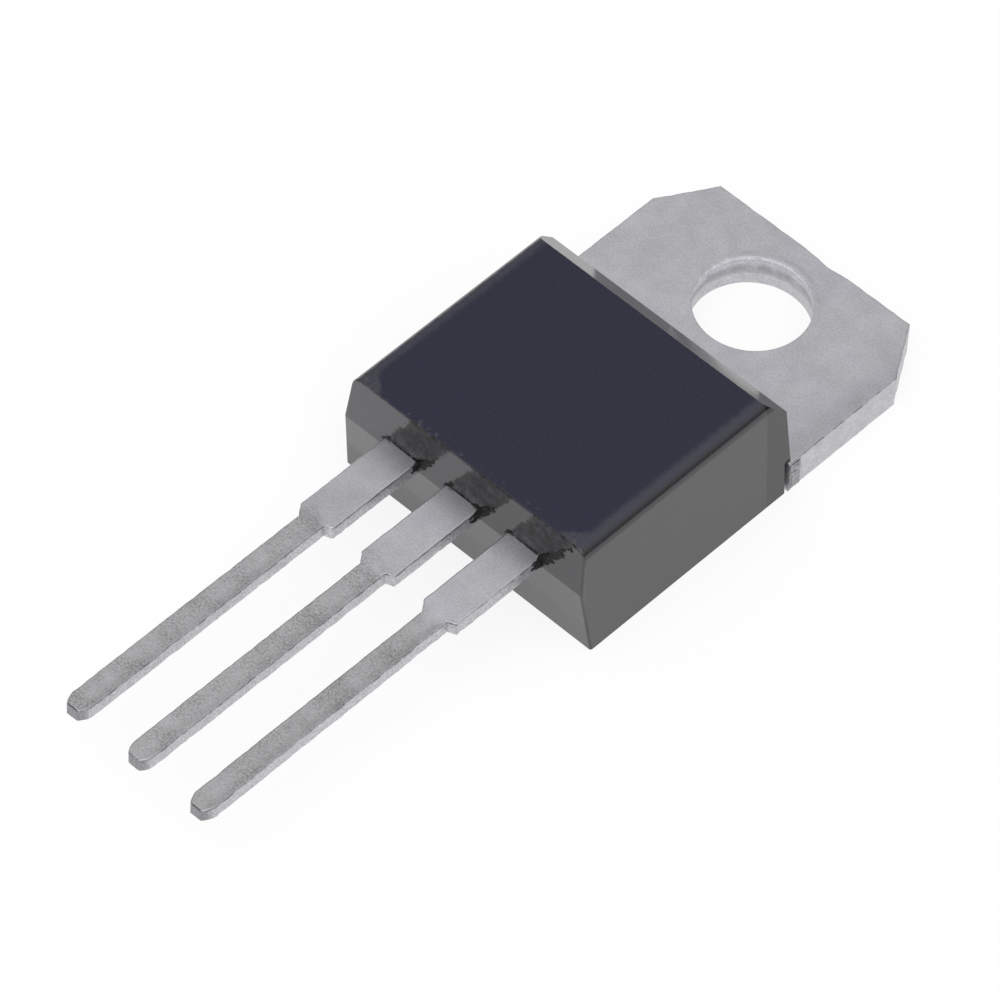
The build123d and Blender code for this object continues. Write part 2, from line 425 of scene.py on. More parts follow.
@dataclass(frozen=True)
class TinPlate:
    """Matt electroplated tin over stamped copper.

    The plating is a fine crystalline skin: a pale grey metal with a soft, broad reflection and a
    faint mottle.  The outer part of a lead has been dipped, so it is duller and grainier than its
    root.  Painted shade darkens the +X half of each dipped lead and the far rim of the hole.
    """

    face: str = "#dad9dd"
    flushed: str = "#d8d7de"  # a cold blush in broad patches
    dipped: str = "#c9c9cb"
    roughness: float = 0.40
    dipped_roughness: float = 0.48
    rim_roughness: float = 0.85
    crystal: float = 0.075  # real crystals are 0.005 mm; drawn coarser so that they show
    patch_size: float = 0.9
    blush_size: float = 3.0
    dip_line: float = -16.9  # across the leads, just beyond their shoulders

    def make(self) -> Material:
        """Build the material.

        Returns:
            The finished material.
        """
        surface = Surface("matt_tin_plate")
        add = surface.add
        sizes = ((self.crystal, 2.0), (self.patch_size, 4.0), (self.blush_size, 2.0))
        fine, patch, broad = (
            add(Kind.NOISE, surface.place, grain_scale(size), detail, 0.6) for size, detail in sizes
        )
        edge = add(Kind.ADD, surface.y, add(Kind.FADE, patch, *SPREAD, *mm(-0.3, 0.3)))
        dipped = add(Kind.FADE, edge, *mm(self.dip_line - 0.3, self.dip_line + 0.6), 1.0, 0.0)
        blush = add(Kind.FADE, broad, 0.4, 0.65)
        base = add(Kind.BLEND, blush, linear(self.face), linear(self.flushed))
        base = add(Kind.BLEND, dipped, base, linear(self.dipped))
        grainy = add(Kind.MULTIPLY, dipped, add(Kind.FADE, patch, 0.38, 0.64, 1.0, 0.1))
        contrast = add(Kind.ADD, grainy, 0.5)
        crystals = add(Kind.MULTIPLY, add(Kind.SUBTRACT, fine, 0.5), contrast)
        blotched = add(Kind.FADE, dipped, 0.0, 1.0, 0.4, 0.85)
        blotches = add(Kind.MULTIPLY, add(Kind.SUBTRACT, patch, 0.5), blotched)
        tone = surface.chain(Kind.ADD, crystals, blotches, 1.0)
        from_rim = self.from_rim(surface)
        # darker towards +X, with painted shade on the leads and at the hole's far rim
        tone = add(Kind.MULTIPLY, tone, self.darkening(surface, from_rim, dipped, patch))
        depth = add(Kind.MULTIPLY, fine, add(Kind.FADE, dipped, 0.0, 1.0, 0.4, 1.6))
        bump = add(Kind.BUMP, depth, 0.5, 0.012 * MM)
        dull = add(Kind.FADE, dipped, 0.0, 1.0, self.roughness, self.dipped_roughness)
        rim = add(Kind.FADE, from_rim, *mm(0.0, 0.1), self.rim_roughness, 0.0)
        dull = add(Kind.MAXIMUM, dull, rim)
        return surface.finish(add(Kind.SCALED, base, tone), 1.0, dull, bump)

    def from_rim(self, surface: Surface) -> Socket:
        """Measure how far a point lies outside the hole.

        Args:
            surface: Nodes of the material.

        Returns:
            The distance, in metres.
        """
        plan = surface.add(Kind.FLATTENED, surface.place, (1.0, 1.0, 0.0))
        return surface.add(Kind.SUBTRACT, surface.add(Kind.LENGTH, plan), HOLE_RADIUS * MM)

    def darkening(self, surface: Surface, from_rim: Socket, dipped: Socket, patch: Socket) -> Socket:
        """Darken the skin towards +X on the leads and the tab, and on the -X lead; with painted
        shade on the +X half of each dipped lead and outside the far rim of the hole.

        Args:
            surface: Nodes of the material.
            from_rim: Distance outside the hole.
            dipped: One on the outer part of the leads.
            patch: Patchy noise.

        Returns:
            A factor for the tone.
        """
        add = surface.add
        beside = add(Kind.WRAP, surface.x, *mm(PITCH / 2, -PITCH / 2))
        # painted shade: each dipped lead darker towards its +X edge, as the dark reflection of its
        # rolled edge
        on_lead = add(Kind.FADE, beside, *mm(0.0, 0.42), 0.0, 0.15)
        across = add(Kind.FADE, surface.x, *mm(-3.0, 3.0), -0.03, 0.06)
        on_lead, across = (add(Kind.MULTIPLY, share, dipped) for share in (on_lead, across))
        on_tab = add(Kind.FADE, surface.x, *mm(3.6, 5.05), 0.0, 0.14)
        first = add(Kind.FADE, surface.x, *mm(-1.9, -1.3), 0.06, 0.0)
        first = add(Kind.MULTIPLY, first, add(Kind.FADE, surface.y, *mm(-10.0, -12.0)))
        # painted shade: a soft, broken dark arc outside the far rim of the hole
        away = add(Kind.ABSOLUTE, add(Kind.SUBTRACT, from_rim, 0.2 * MM))
        rim = surface.chain(
            Kind.MULTIPLY,
            add(Kind.FADE, away, *mm(0.0, 0.14), 1.0, 0.0),
            add(Kind.FADE, patch, 0.42, 0.58, 0.02, 0.16),
            add(Kind.FADE, surface.y, *mm(0.6, 1.4)),
        )
        return add(Kind.SUBTRACT, 1.0, surface.chain(Kind.ADD, on_lead, on_tab, across, first, rim))


@dataclass(frozen=True)
class ShearedTin:
    """Tin plating over the sheared edge of the copper strip.

    A punch first draws the edge over, then cuts a smooth, burnished band, and at last tears the
    rest away.  A broken, soft dark band runs at one height; on the outer edges it is a painted
    reflection of the dark horizon in the rolled edge.
    """

    name: str
    low: float  # back of the strip
    high: float  # front of the strip
    burnished: str = "#c4c3c8"
    torn: str = "#c4c3c7"
    # on the outer edges, a painted dark reflection of the horizon under the rolled edge
    band: str = "#85858a"
    smeared: str = "#77767a"  # end of a lead, where the crop tool smeared the tin
    crop_line: float = -26.25
    band_depth: float = 0.05  # of the middle of the dark band, below the front of the strip
    band_width: float = 0.07
    band_share: float = 0.95
    band_least: float = 0.2
    band_breaks: tuple[float, float] = (0.4, 0.58)  # levels of the noise that breaks the band
    tear_grain: float = 0.08  # real tears are 0.03 mm; drawn coarser so that they show
    drift_size: float = 0.45
    mottle: float = 0.09
    rim: str = "#c4c3c8"  # where the edge rolls over into the front
    rim_roughness: float = 0.42

    def make(self) -> Material:
        """Build the material.

        Returns:
            The finished material.
        """
        surface = Surface(self.name)
        add = surface.add
        grain, drift = (
            add(Kind.NOISE, surface.place, grain_scale(size), 3.0, 0.6)
            for size in (self.tear_grain, self.drift_size)
        )
        wander = add(Kind.FADE, drift, 0.25, 0.75, *mm(-0.04, 0.04))
        height = add(Kind.ADD, surface.z, wander)
        away = add(Kind.ABSOLUTE, add(Kind.SUBTRACT, height, (self.high - self.band_depth) * MM))
        line = add(Kind.FADE, away, *mm(0.0, self.band_width), self.band_share, 0.0)
        breaks = add(Kind.FADE, drift, *self.band_breaks, 1.0, self.band_least)
        line = add(Kind.MULTIPLY, line, breaks)
        middle = (self.low + self.high) / 2
        torn = add(Kind.FADE, height, *mm(middle - 0.1, middle + 0.1), 1.0, 0.0)
        rolled = add(Kind.FADE, height, *mm(self.high - 0.17, self.high - 0.09))
        base = add(Kind.BLEND, torn, linear(self.burnished), linear(self.torn))
        base = add(Kind.BLEND, rolled, base, linear(self.rim))
        base = add(Kind.BLEND, line, base, linear(self.band))
        base = add(Kind.BLEND, self.cropped(surface), base, linear(self.smeared))
        mottled = add(Kind.FADE, grain, *SPREAD, 1.0 - 1.2 * self.mottle, 1.0 + self.mottle)
        tone = add(Kind.MULTIPLY, mottled, add(Kind.FADE, drift, *SPREAD, 0.94, 1.05))
        bump = add(Kind.BUMP, grain, 0.5, 0.015 * MM)
        edge = mm(self.high - 0.22, self.high - 0.1)
        rough = add(Kind.FADE, height, *edge, 0.45, self.rim_roughness)
        return surface.finish(add(Kind.SCALED, base, tone), 1.0, rough, bump)

    def cropped(self, surface: Surface) -> Socket:
        """Find the end of each lead, but for its left-hand cut.

        Args:
            surface: Nodes of the material.

        Returns:
            The share of smeared tin.
        """
        add = surface.add
        end = add(Kind.FADE, surface.y, *mm(self.crop_line, self.crop_line - 0.3), 0.0, 0.65)
        beside = add(Kind.WRAP, surface.x, *mm(PITCH / 2, -PITCH / 2))
        return add(Kind.MULTIPLY, end, add(Kind.FADE, beside, *mm(-0.22, -0.16)))


@dataclass(frozen=True)
class TornCopper:
    """Copper tie bar broken off after plating.

    The break is crystalline and smeared with tin and grease, so it is dark, rough and uneven.
    """

    bright: str = "#b4b3b6"
    dark: str = "#807e82"
    grain: float = 0.12

    def make(self) -> Material:
        """Build the material.

        Returns:
            The finished material.
        """
        surface = Surface("torn_tie_bar")
        add = surface.add
        crumbs = add(Kind.NOISE, surface.place, grain_scale(self.grain), 4.0, 0.7)
        broken = add(Kind.FADE, crumbs, 0.42, 0.6)
        base = add(Kind.BLEND, broken, linear(self.bright), linear(self.dark))
        return surface.finish(base, 1.0, 0.55, add(Kind.BUMP, crumbs, 0.9, 0.05 * MM))


@dataclass(frozen=True)
class EpoxyBleed:
    """Skin of epoxy resin that crept along a lead before it set: black, crumbly and dull."""

    # also the colour of the black skin and crumbs that stand in for shade at the leads' roots
    colour: str = "#17171a"
    grain: float = 0.08

    def make(self) -> Material:
        """Build the material.

        Returns:
            The finished material.
        """
        surface = Surface("epoxy_bleed")
        add = surface.add
        crumbs = add(Kind.NOISE, surface.place, grain_scale(self.grain), 3.0)
        tone = add(Kind.FADE, crumbs, 0.35, 0.7, 0.6, 1.8)
        base = add(Kind.SCALED, linear(self.colour)[:3], tone)
        return surface.finish(base, 0.0, 0.6, add(Kind.BUMP, crumbs, 0.8, 0.03 * MM), 1.5)


@dataclass(frozen=True)
class SealedMetal:
    """Bare metal sealed inside the moulding, such as drawn aluminium wire or soft solder.

    It is bright where it was drawn or has flowed, and its grain shows as a faint mottle.
    """

    name: str
    bright: str
    dull: str
    roughness: float
    grain: float

    def make(self) -> Material:
        """Build the material.

        Returns:
            The finished material.
        """
        surface = Surface(self.name)
        add = surface.add
        mottle = add(Kind.NOISE, surface.place, grain_scale(self.grain), 3.0)
        share = add(Kind.FADE, mottle, *SPREAD)
        base = add(Kind.BLEND, share, linear(self.bright), linear(self.dull))
        return surface.finish(base, 1.0, self.roughness, add(Kind.BUMP, mottle, 0.3, 0.01 * MM))


@dataclass(frozen=True)
class SiliconChip:
    """Polished silicon with aluminium pads on its front.

    The bare rim is a dark, blue-grey mirror, and the sputtered aluminium inside it is pale, with
    the comb of the cell rows just showing.
    """

    rim: str = "#4a4d57"
    pads: str = "#c9c9c6"
    roughness: float = 0.2
    rim_width: float = 0.14
    cell_pitch: float = 0.12  # real cells are 0.01 mm apart; drawn coarser so that they show

    def make(self, low: Vector, high: Vector) -> Material:
        """Build the material.

        Args:
            low: Lowest corner of the chip, in millimetres.
            high: Highest corner of the chip, in millimetres.

        Returns:
            The finished material.
        """
        surface = Surface("metallised_silicon")
        add = surface.add
        across, along, _ = add(Kind.AXES, add(Kind.MOVED, surface.place, (low + high) / 2 * MM))
        inner = surface.chain(
            Kind.MULTIPLY,
            *(
                add(Kind.LESS_THAN, add(Kind.ABSOLUTE, away), (size / 2 - self.rim_width) * MM)
                for away, size in zip((across, along), high - low)
            ),
        )
        rows = add(Kind.ROWS, surface.place, grain_scale(self.cell_pitch) / math.tau, 0.0)
        combed = add(Kind.FADE, rows, 0.3, 0.7, 0.0, 0.35)
        pads = add(Kind.BLEND, combed, linear(self.pads), linear(self.rim))
        base = add(Kind.BLEND, inner, linear(self.rim), pads)
        return surface.finish(base, 1.0, self.roughness)


# ---------------------------------------------------------------- pieces
def settle(
    shape: BMesh,
    name: str,
    finishes: list[Material],
    slot: Slot,
    replaced: tuple[str, ...] = (),
) -> Object:
    """Turn a finished bmesh, in millimetres, into a piece that rides with the part.

    Args:
        shape: Mesh to finish; it is freed.
        name: Name of the piece.
        finishes: Materials, in the order of the faces' indices.
        slot: Record's slot for the piece's finish; not used.
        replaced: CAD nodes that the piece stands for.

    Returns:
        The new piece.
    """
    bmesh.ops.remove_doubles(shape, verts=shape.verts, dist=0.0005)
    bmesh.ops.recalc_face_normals(shape, faces=shape.faces)
    bmesh.ops.scale(shape, vec=(MM, MM, MM), verts=shape.verts)
    mesh = bpy.data.meshes.new(name)
    shape.to_mesh(mesh)
    shape.free()
    mesh.set_sharp_from_angle(angle=SHARP_ANGLE)
    for face in mesh.polygons:
        face.use_smooth = abs(face.normal.z) < 0.999
    for finish in finishes:
        mesh.materials.append(finish)
    piece = bpy.data.objects.new(name, mesh)
    bpy.context.scene.collection.objects.link(piece)
    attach(piece, "root")
    if replaced:
        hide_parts(*replaced)
    LOG.info("%s: %d faces", name, len(mesh.polygons))
    return piece


def new_part(grown: dict, kind: type) -> list:
    """Elements of one kind in an operator's result."""
    return [item for item in grown["geom"] if isinstance(item, kind)]


def grow(shape: BMesh, faces: list[BMFace]) -> dict:
    """Extrude faces as one region, with no face left behind inside the solid.

    Args:
        shape: Mesh with the faces.
        faces: Faces to extrude.

    Returns:
        The operator's result.
    """
    edges = dict.fromkeys(edge for face in faces for edge in face.edges)
    return bmesh.ops.extrude_face_region(shape, geom=[*faces, *edges])


def ripple(place: float, seed: float, size: float, wavelength: float) -> float:
    """Smooth irregular offset along an edge.

    Args:
        place: Distance along the edge, in millimetres.
        seed: Number that picks the pattern.
        size: Largest offset, in millimetres.
        wavelength: Length of one ripple, in millimetres.

    Returns:
        The offset, in millimetres.
    """
    return 2.0 * size * noise.noise(Vector((place / wavelength, seed, 0.37)))


def round_off(shape: BMesh, geom: list, radius: float, steps: int, affect: str = "EDGES") -> None:
    """Round edges or corners with the material of the faces beside them.

    Args:
        shape: Mesh to round.
        geom: The edges, or the corners.
        radius: Width of the round, in millimetres.
        steps: Number of faces across it.
        affect: Whether edges or vertices are rounded.
    """
    options = {"segments": steps, "profile": 0.5, "affect": affect, "material": -1}
    bmesh.ops.bevel(shape, geom=geom, offset=radius, **options)


def mark_sheared(shape: BMesh, hole_radius: float = 0.0) -> None:
    """Give the upright faces the second material, and those of a hole at the origin the third.

    Args:
        shape: Mesh to mark.
        hole_radius: Radius within which an upright face belongs to the hole, in millimetres.
    """
    shape.normal_update()
    for face in shape.faces:
        in_hole = face.calc_center_median().xy.length < hole_radius
        face.material_index = (2 if in_hole else 1) if abs(face.normal.z) < 0.6 else 0


@dataclass
class LeadBlade:
    """Stamped strip of one lead, swept along -Y to its tapered tip."""

    centre: float  # across the part
    back: float  # height of its back face
    front: float
    tip: float  # end of the strip, along Y
    seed: float
    post_end: float = -9.95  # inner end of the post
    post_front: float = -11.65
    shoulder: float = -16.55
    square_run: float = 0.1  # length of the shoulder that is cut square
    post_width: float = 2.6
    wide: float = 1.38
    narrow: float = 0.83
    tip_width: float = 0.36
    tip_length: float = 0.42
    edge_roll: float = 0.05
    end_roll: float = 0.04
    ripple_size: float = 0.016
    burr: float = 0.03  # unevenness of the torn edge at the back
    station_gap: float = 0.16
    fine_gap: float = 0.03
    bare_from: float = -13.4  # nearer than this, the moulding covers the strip

    def half_width(self, y: float, side: int) -> float:
        """Half the plain width of the strip at a station.

        Args:
            y: Station, in millimetres.
            side: One on the +X side, where the shoulder is cut square, and minus one on the other.

        Returns:
            Half the width, in millimetres.
        """
        if y > self.post_front:
            return self.post_width / 2
        step = (self.wide - self.narrow) / 2
        run = self.square_run if side > 0 else step + 0.07
        down = min(max((self.shoulder + 0.03 - y) / run, 0.0), 1.0)
        eased = down + 0.10 * math.sin(math.tau * down) * (1.0 - down)
        half = self.wide / 2 - step * min(max(eased, 0.0), 1.0)
        left = (y - self.tip) / self.tip_length
        if left < 1.0:
            ease = math.sqrt(max(1.0 - (1.0 - left) ** 2, 0.0))
            spread = (self.narrow - self.tip_width) / 2
            half = self.tip_width / 2 + spread * (0.35 * left + 0.65 * ease)
        return half

    def stations(self, start: float) -> list[float]:
        """Stations from a start to the tip, closer at the shoulder and the tip.

        Args:
            start: First station, in millimetres.

        Returns:
            The stations, in order.
        """
        places = [start]
        if start > self.post_front:
            places += [self.post_front + NEAR, self.post_front - NEAR]
        while places[-1] > self.tip + NEAR:
            y = places[-1]
            fine = abs(y - self.shoulder + 0.12) < 0.4 or y - self.tip < self.tip_length + 0.1
            places.append(max(y - (self.fine_gap if fine else self.station_gap), self.tip))
        return places

    def start_face(self, shape: BMesh, y: float, width: float) -> BMFace:
        """Draw the strip's section, with the edges rolled that the punch entered.

        Args:
            shape: Mesh that gets the section.
            y: Station of the section.
            width: Width of the section.

        Returns:
            The section's face.
        """
        corners = [
            shape.verts.new((self.centre + side * width / 2, y, z))
            for side, z in ((-1, self.back), (1, self.back), (1, self.front), (-1, self.front))
        ]
        shape.faces.new(corners)
        round_off(shape, corners[2:], self.edge_roll, 3, "VERTICES")
        shape.faces.ensure_lookup_table()
        return shape.faces[-1]

    def sweep(self, shape: BMesh, face: BMFace, start: float) -> None:
        """Extrude the section from station to station, and round off the tip.

        Args:
            shape: Mesh with the section.
            face: Section's face.
            start: Station where the face is.
        """
        previous = {side: self.half_width(start, side) for side in (-1, 1)}
        for y in self.stations(start)[1:]:
            grown = grow(shape, [face])
            face = new_part(grown, BMFace)[0]
            for side in (-1, 1):
                bare = 1.0 if y < self.bare_from else 0.0
                worn = bare * abs(ripple(y, self.seed + side, self.ripple_size, 0.4))
                wide = self.half_width(y, side) - worn
                rise = bare * abs(ripple(y, self.seed + 9 * side, self.burr, 0.3))
                for vert in face.verts:
                    if side * (vert.co.x - self.centre) > 0:
                        vert.co.x += side * (wide - previous[side])
                        vert.co.y = y
                        if vert.co.z < self.back + 0.1:
                            vert.co.z = self.back + rise
                previous[side] = wide
        round_off(shape, list(face.edges), self.end_roll, 2)

    def build(self, name: str, finishes: list[Material]) -> Object:
        """Make an outer lead with its post.

        Args:
            name: CAD node that the lead stands for.
            finishes: Materials of its flat and its sheared faces.

        Returns:
            The piece.
        """
        shape = bmesh.new()
        face = self.start_face(shape, self.post_end, self.post_width)
        self.sweep(shape, face, self.post_end)
        mark_sheared(shape)
        return settle(shape, f"{name}_blade", finishes, Slot.PLATED_COPPER, (name,))


@dataclass
class CentreLead(LeadBlade):
    """Middle lead, bent up off the slug and in one piece with it."""

    slug_end: float = -9.7
    slug_front: float = TAB_FRONT
    bend_radius: float = 0.55
    bend_start: float = -10.25

    def build(self, name: str, finishes: list[Material]) -> Object:
        """Make the bent strip and the blade beyond it.

        Args:
            name: CAD node that the lead stands for.
            finishes: Materials of its flat and its sheared faces.

        Returns:
            The piece.
        """
        shape = bmesh.new()
        thickness = self.front - self.back
        rise = self.front - self.slug_front
        run = self.bend_start - self.post_front
        angle = math.atan2(rise, run)
        tangent = self.bend_radius * math.tan(angle / 2)
        start = self.slug_end + self.bend_radius
        face = self.start_face(shape, start, self.wide)
        bmesh.ops.translate(shape, verts=face.verts, vec=(0.0, 0.0, self.slug_front - self.front))
        middle = self.slug_front - thickness / 2
        ahead = Vector((0.0, -1.0, 0.0))
        climb = Vector((0.0, -math.cos(angle), math.sin(angle)))
        face = self.run_on(shape, face, ahead * (start - self.bend_start - tangent))
        pivot = Vector((self.centre, self.bend_start + tangent, middle + self.bend_radius))
        face = self.bend(shape, face, pivot, angle)
        slope = math.hypot(run, rise) - 2 * tangent
        face = self.run_on(shape, face, climb * slope)
        pivot = Vector((self.centre, self.post_front - tangent, middle + rise - self.bend_radius))
        face = self.bend(shape, face, pivot, -angle)
        self.sweep(shape, face, self.post_front - tangent)
        mark_sheared(shape)
        return settle(shape, f"{name}_lead", finishes, Slot.PLATED_COPPER, (name,))

    def run_on(self, shape: BMesh, face: BMFace, move: Vector) -> BMFace:
        """Extrude the end of the strip straight on.

        Args:
            shape: Mesh with the strip.
            face: End of the strip.
            move: How far it goes.

        Returns:
            The new end.
        """
        grown = grow(shape, [face])
        bmesh.ops.translate(shape, verts=new_part(grown, BMVert), vec=move)
        return new_part(grown, BMFace)[0]

    def bend(
        self, shape: BMesh, face: BMFace, pivot: Vector, angle: float
    ) -> BMFace:
        """Turn the end of the strip about a pivot.

        Args:
            shape: Mesh with the strip.
            face: End of the strip.
            pivot: Centre of the bend.
            angle: Turn, in radians, up when positive.

        Returns:
            The new end.
        """
        steps = 8
        turn = Matrix.Rotation(-angle / steps, 3, "X")
        for _ in range(steps):
            grown = grow(shape, [face])
            face = new_part(grown, BMFace)[0]
            bmesh.ops.rotate(shape, verts=face.verts, cent=pivot, matrix=turn)
        return face


@dataclass
class Tab:
    """Stamped copper tab with its fixing hole, and the slug that runs on under the moulding."""

    half_width: float
    end: float  # free end, along Y
    front: float = TAB_FRONT
    root: float = -3.9
    corner_cut: tuple[float, float] = (1.15, 1.90)
    dent: tuple[float, float, float] = (0.7, 0.5, 0.08)  # place, half width and depth
    edge_roll: float = 0.05
    hole_radius: float = HOLE_RADIUS
    rim_roll: float = 0.05
    hole_flare: float = 0.07  # how much wider the torn half of the hole is
    edge_gap: float = 0.16
    slug_half: float = 4.2
    slug_end: float = -9.7
    coin_height: float = 0.45
    coin_depth: float = 0.2

    def outline(self, shape: BMesh) -> list[BMEdge]:
        """Draw the plan of the tab and divide it finely.

        Args:
            shape: Mesh that gets the outline.

        Returns:
            Edges of the outline.
        """
        cut_x, cut_y = self.corner_cut
        right = [
            (self.slug_half - self.coin_depth, self.root),
            (self.slug_half, self.root),
            (self.half_width, self.root),
            (self.half_width, self.end - cut_y),
            (self.half_width - cut_x, self.end),
        ]
        corners = [shape.verts.new((x, y, 0.0)) for x, y in right]
        corners += [shape.verts.new((-x, y, 0.0)) for x, y in reversed(right)]
        sides = [shape.edges.new(pair) for pair in zip(corners, corners[1:] + corners[:1])]
        for edge in sides:
            cuts = int(edge.calc_length() / self.edge_gap)
            if cuts:
                bmesh.ops.subdivide_edges(shape, edges=[edge], cuts=cuts)
        for vert in shape.verts:
            self.wear(vert)
        return list(shape.edges)

    def wear(self, vert: BMVert) -> None:
        """Let the free edges wander a little inwards, with one shallow dent in the far edge.

        Args:
            vert: Corner of the outline.
        """
        x, y = vert.co.x, vert.co.y
        place, half, depth = self.dent
        if y > self.root + 0.6:
            inwards = abs(ripple(x + 1.7 * y, 4.1, 0.02, 0.5))
            if y > self.end - NEAR:
                inwards += depth * math.exp(-(((x - place) / half) ** 2))
            vert.co.x -= math.copysign(inwards * 0.6, x) if abs(x) > self.half_width - 1.2 else 0.0
            vert.co.y -= inwards if y > self.end - 1.8 else 0.0

    def build(self, name: str, finishes: list[Material]) -> Object:
        """Make the tab and the slug.

        Args:
            name: CAD node that the piece stands for.
            finishes: Materials of its flat and its sheared faces.

        Returns:
            The piece.
        """
        shape = bmesh.new()
        rim = bmesh.ops.extrude_edge_only(shape, edges=self.outline(shape))
        for vert in new_part(rim, BMVert):
            vert.co = vert.co.normalized() * self.hole_radius
        for level in (self.coin_height, self.front - self.coin_height):
            caps = [face for face in shape.faces if self.is_cap(face)]
            top = max(face.calc_center_median().z for face in caps)
            grown = grow(shape, [face for face in caps if face.calc_center_median().z > top - NEAR])
            bmesh.ops.translate(shape, verts=new_part(grown, BMVert), vec=(0.0, 0.0, level))
        for vert in shape.verts:
            if vert.co.xy.length < self.hole_radius + 0.01 and vert.co.z < self.front - 0.01:
                vert.co.xy = vert.co.xy * (1.0 + self.hole_flare / self.hole_radius)
        self.add_slug(shape)
        self.round_edges(shape)
        mark_sheared(shape, self.hole_radius + self.rim_roll)
        return settle(shape, f"{name}_tab", finishes, Slot.PLATED_COPPER, (name,))

    def is_cap(self, face: BMFace) -> bool:
        """Tell whether a face lies flat."""
        face.normal_update()
        return abs(face.normal.z) > 0.9

    def add_slug(self, shape: BMesh) -> None:
        """Extrude the slug from the middle of the tab's inner wall.

        Args:
            shape: Mesh of the tab.
        """
        wall = []
        for face in shape.faces:
            middle = face.calc_center_median()
            if middle.y < self.root + NEAR:
                reach = self.slug_half - (self.coin_depth if middle.z < self.coin_height else 0.0)
                if abs(middle.x) < reach:
                    wall.append(face)
        grown = grow(shape, wall)
        inner = new_part(grown, BMVert)
        bmesh.ops.translate(shape, verts=inner, vec=(0.0, self.slug_end - self.root, 0.0))
        for vert in inner:
            if vert.co.z < self.coin_height - NEAR:
                vert.co.y += self.coin_depth

    def round_edges(self, shape: BMesh) -> None:
        """Roll the outer edges and the rim of the hole over, as the punch leaves them.

        Args:
            shape: Mesh of the tab.
        """
        for rim, roll, steps in ((False, self.edge_roll, 4), (True, self.rim_roll, 6)):
            edges = []
            for edge in shape.edges:
                level = min(vert.co.z for vert in edge.verts)
                if level < self.front - NEAR or len(edge.link_faces) != 2:
                    continue
                middle = (edge.verts[0].co + edge.verts[1].co) / 2
                on_rim = middle.xy.length < self.hole_radius + 0.01
                chosen = on_rim if rim else not on_rim and middle.y > self.root + NEAR
                if chosen and edge.calc_face_angle() >= 1.0:
                    edges.append(edge)
            round_off(shape, edges, roll, steps)


@dataclass
class TieBarStubs:
    """Broken ends of the bars that held neighbouring tabs together."""

    half_width: float  # of the tab
    proud: float  # how far each stub stands out of the tab
    root: float = Tab.root
    length: float = 0.5
    height: float = 1.18
    bite: float = 0.12  # how far each stub sits in the tab

    def build(self, finish: Material) -> Object:
        """Make both stubs.

        Args:
            finish: Material of the torn metal.

        Returns:
            The piece.
        """
        shape = bmesh.new()
        for side in (-1, 1):
            block = bmesh.ops.create_cube(shape, size=1.0)["verts"]
            size = (self.proud + self.bite, self.length, self.height - 0.04)
            bmesh.ops.scale(shape, vec=size, verts=block)
            place = (
                side * (self.half_width + (self.proud - self.bite) / 2),
                self.root + self.length / 2 + 0.01,
                self.height / 2,
            )
            bmesh.ops.translate(shape, vec=place, verts=block)
        bmesh.ops.subdivide_edges(shape, edges=list(shape.edges), cuts=9, use_grid_fill=True)
        for vert in shape.verts:
            bumps = noise.noise(vert.co * 5.0) + 0.6 * noise.noise(vert.co * 13.0)
            over = abs(vert.co.x) - self.half_width
            if over > 0.0:
                vert.co.x -= math.copysign(over * min(0.3 + 0.7 * abs(bumps), 0.9), vert.co.x)
            vert.co.y += 0.03 * bumps
        return settle(shape, "tie_bar_stubs", [finish], Slot.PLATED_COPPER)


